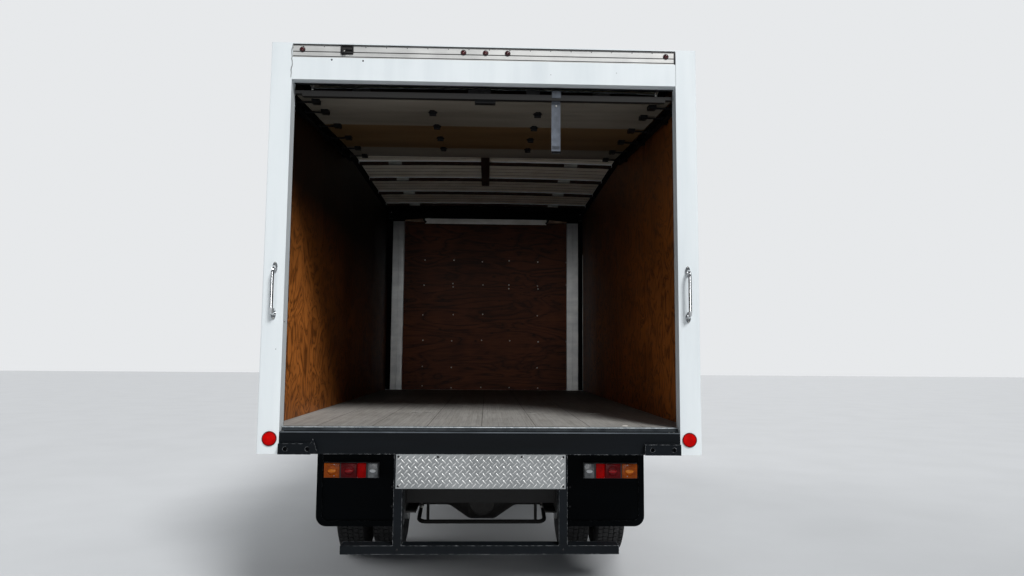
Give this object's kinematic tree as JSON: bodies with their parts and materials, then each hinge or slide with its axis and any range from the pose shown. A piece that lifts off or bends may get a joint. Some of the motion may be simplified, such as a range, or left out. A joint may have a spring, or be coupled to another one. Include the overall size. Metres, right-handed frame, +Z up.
{
  "type": "box truck",
  "caption": "Cab-over box truck with a hollow cargo box, stored roll-up rear door, tilting cab, hinged doors, steered front wheels and twin rear wheels.",
  "frame": {"origin": "on the ground under the middle of the overall length and width", "axes": "+Y forward along the truck, +X to the truck's right, +Z up"},
  "size_m": [2.47, 6.74, 3.2349],
  "materials": {
    "frame_black": "satin",
    "axle_iron": "rough",
    "spring_steel": "rough",
    "white_paint": "gloss",
    "sill_black": "satin",
    "aluminium": "satin",
    "galvanised": "satin",
    "deck_wood": "worn",
    "door_panel": "painted",
    "tyre": "rough",
    "rim_white": "satin",
    "cab_white": "gloss",
    "glass": "clear",
    "black_plastic": "grained",
    "interior_grey": "grained",
    "seat_fabric": "woven",
    "lamp_red": "clear",
    "lamp_clear": "clear",
    "webbing": "woven",
    "chrome": "polished",
    "chequer": "worn"
  },
  "bodies": {
    "chassis": {"frame_rail_left": "frame_black", "frame_rail_right": "frame_black", "crossmembers": "frame_black", "front_axle": "axle_iron", "rear_axle": "axle_iron", "leaf_springs": "spring_steel", "stabiliser_and_dampers": "frame_black", "propeller_shaft": "spring_steel", "engine_block": "axle_iron", "fuel_tank": "frame_black", "battery_box": "frame_black", "exhaust": "galvanised", "front_bumper": "white_paint", "long_sills": "frame_black", "cross_sills": "galvanised", "cargo_deck": "deck_wood", "wall_left": "white_paint", "wall_right": "white_paint", "wall_front": "white_paint", "roof": "aluminium", "rear_posts": "white_paint", "rear_header": "white_paint", "rear_sill": "sill_black", "bulkhead_frame": "aluminium", "roll_door_panels": "door_panel", "roll_door_hardware": "galvanised", "roll_door_tracks": "galvanised", "pull_strap": "webbing", "grab_handles": "chrome", "dock_brackets": "sill_black", "tread_plate": "chequer", "underrun_guard": "sill_black", "lamp_panels": "sill_black", "rear_lamps": "lamp_red"},
    "cab": {"cab_floor": "cab_white", "cab_back": "cab_white", "cab_front": "cab_white", "cab_roof": "cab_white", "cab_glass": "glass", "cab_grille": "black_plastic", "front_lamps": "lamp_clear", "mirrors": "black_plastic", "dashboard": "interior_grey", "seats": "seat_fabric"},
    "steering_wheel": {"steering_wheel": "black_plastic"},
    "door_left": {"door_left": "cab_white", "door_glass_left": "glass"},
    "door_right": {"door_right": "cab_white", "door_glass_right": "glass"},
    "knuckle_left": {"knuckle_left": "axle_iron"},
    "knuckle_right": {"knuckle_right": "axle_iron"},
    "tie_rod": {"tie_rod": "frame_black"},
    "wheel_front_left": {"tyre_front_left": "tyre", "rim_front_left": "rim_white"},
    "wheel_front_right": {"tyre_front_right": "tyre", "rim_front_right": "rim_white"},
    "wheels_rear_left": {"tyres_rear_left": "tyre", "rims_rear_left": "rim_white"},
    "wheels_rear_right": {"tyres_rear_right": "tyre", "rims_rear_right": "rim_white"}
  },
  "joints": [
    {"name": "cab_tilt", "type": "hinge", "parent": "chassis", "child": "cab", "pos_m": [0, 3.257, 0.7], "axis": [-1, 0, 0], "range_deg": [0, 45]},
    {"name": "door_left_hinge", "type": "hinge", "parent": "cab", "child": "door_left", "pos_m": [-1.012, 3.107, 1.2], "axis": [0, 0, -1], "range_deg": [0, 70]},
    {"name": "door_right_hinge", "type": "hinge", "parent": "cab", "child": "door_right", "pos_m": [1.012, 3.107, 1.2], "axis": [0, 0, 1], "range_deg": [0, 70]},
    {"name": "steering_wheel_turn", "type": "hinge", "parent": "cab", "child": "steering_wheel", "pos_m": [-0.48, 2.767, 1.4], "axis": [0, -0.6157, 0.788], "range_deg": [-541, 541]},
    {"name": "steer_left", "type": "hinge", "parent": "chassis", "child": "knuckle_left", "pos_m": [-0.69, 2.237, 0.385], "axis": [0, 0, 1], "range_deg": [-36, 36]},
    {"name": "steer_right", "type": "hinge", "parent": "chassis", "child": "knuckle_right", "pos_m": [0.69, 2.237, 0.385], "axis": [0, 0, 1], "range_deg": [-36, 36]},
    {"name": "tie_rod_eye", "type": "hinge", "parent": "knuckle_left", "child": "tie_rod", "pos_m": [-0.69, 2.072, 0.268], "axis": [0, 0, 1], "range_deg": [-36, 36]},
    {"name": "spin_front_left", "type": "hinge", "parent": "knuckle_left", "child": "wheel_front_left", "pos_m": [-0.8325, 2.237, 0.385], "axis": [-1, 0, 0], "continuous": true},
    {"name": "spin_front_right", "type": "hinge", "parent": "knuckle_right", "child": "wheel_front_right", "pos_m": [0.8325, 2.237, 0.385], "axis": [-1, 0, 0], "continuous": true},
    {"name": "spin_rear_left", "type": "hinge", "parent": "chassis", "child": "wheels_rear_left", "pos_m": [-0.81, -1.573, 0.385], "axis": [-1, 0, 0], "continuous": true},
    {"name": "spin_rear_right", "type": "hinge", "parent": "chassis", "child": "wheels_rear_right", "pos_m": [0.81, -1.573, 0.385], "axis": [-1, 0, 0], "continuous": true}
  ],
  "couplings": [
    {"joint": "steer_right", "follows": "steer_left", "ratio": 1},
    {"joint": "tie_rod_eye", "follows": "steer_left", "ratio": -1},
    {"joint": "steering_wheel_turn", "follows": "steer_left", "ratio": 15}
  ]
}
